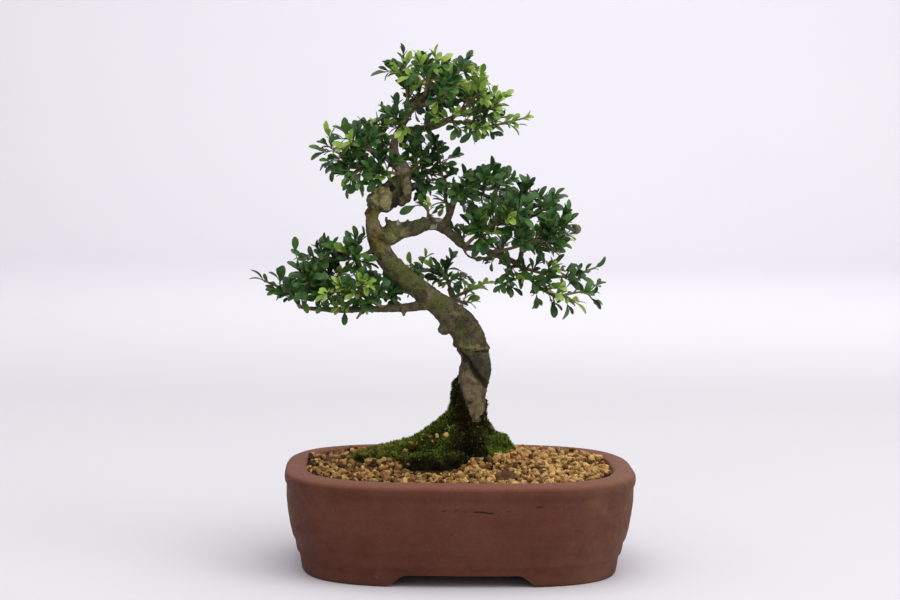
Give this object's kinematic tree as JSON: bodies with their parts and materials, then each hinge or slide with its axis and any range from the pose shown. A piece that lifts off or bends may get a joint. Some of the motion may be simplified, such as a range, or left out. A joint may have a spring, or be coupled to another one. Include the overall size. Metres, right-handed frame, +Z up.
{
  "type": "japanese holly bonsai",
  "caption": "Small-leaved holly bonsai with a swept, knobbly trunk, flat leafy pads and moss over its roots, growing in a low rounded stoneware pot of clay granules.",
  "frame": {"origin": "on the surface that the pot stands on, under the middle of the whole outline seen from above", "axes": "+Z up; the front, where the pot's foot cut-out and the widest view of the tree are, faces -Y; +X to the right of someone who looks at the front"},
  "size_m": [0.2245, 0.16, 0.3097],
  "materials": {
    "stoneware": "unglazed, matte, red-brown",
    "akadama": "dry porous baked-clay granules",
    "bark": "rough olive-grey bark",
    "moss": "soft matte moss",
    "leaf": "small waxy evergreen leaves",
    "berry": "dull satin skin",
    "screen": "matte"
  },
  "bodies": {
    "root": {"pot": "stoneware", "drain_screen_left": "screen", "drain_screen_right": "screen", "soil": "akadama", "wood": "bark", "moss": "moss", "berry": "berry", "left_spray_01": "leaf", "left_spray_02": "leaf", "left_spray_03": "leaf", "left_spray_04": "leaf", "left_spray_05": "leaf", "left_spray_06": "leaf", "left_spray_07": "leaf", "left_spray_08": "leaf", "upper_spray_01": "leaf", "upper_spray_02": "leaf", "upper_spray_03": "leaf", "upper_spray_04": "leaf", "middle_spray_01": "leaf", "middle_spray_02": "leaf", "apex_spray_01": "leaf", "apex_spray_02": "leaf", "apex_spray_03": "leaf", "apex_spray_04": "leaf", "apex_spray_05": "leaf", "apex_spray_06": "leaf", "apex_spray_07": "leaf", "apex_spray_08": "leaf", "right_spray_01": "leaf", "right_spray_02": "leaf", "right_spray_03": "leaf", "right_spray_04": "leaf", "right_spray_05": "leaf", "right_spray_06": "leaf", "right_spray_07": "leaf", "right_spray_08": "leaf", "right_spray_09": "leaf", "right_spray_10": "leaf", "right_spray_11": "leaf", "right_spray_12": "leaf", "back_spray_01": "leaf", "back_spray_02": "leaf", "back_spray_03": "leaf"}
  },
  "joints": []
}
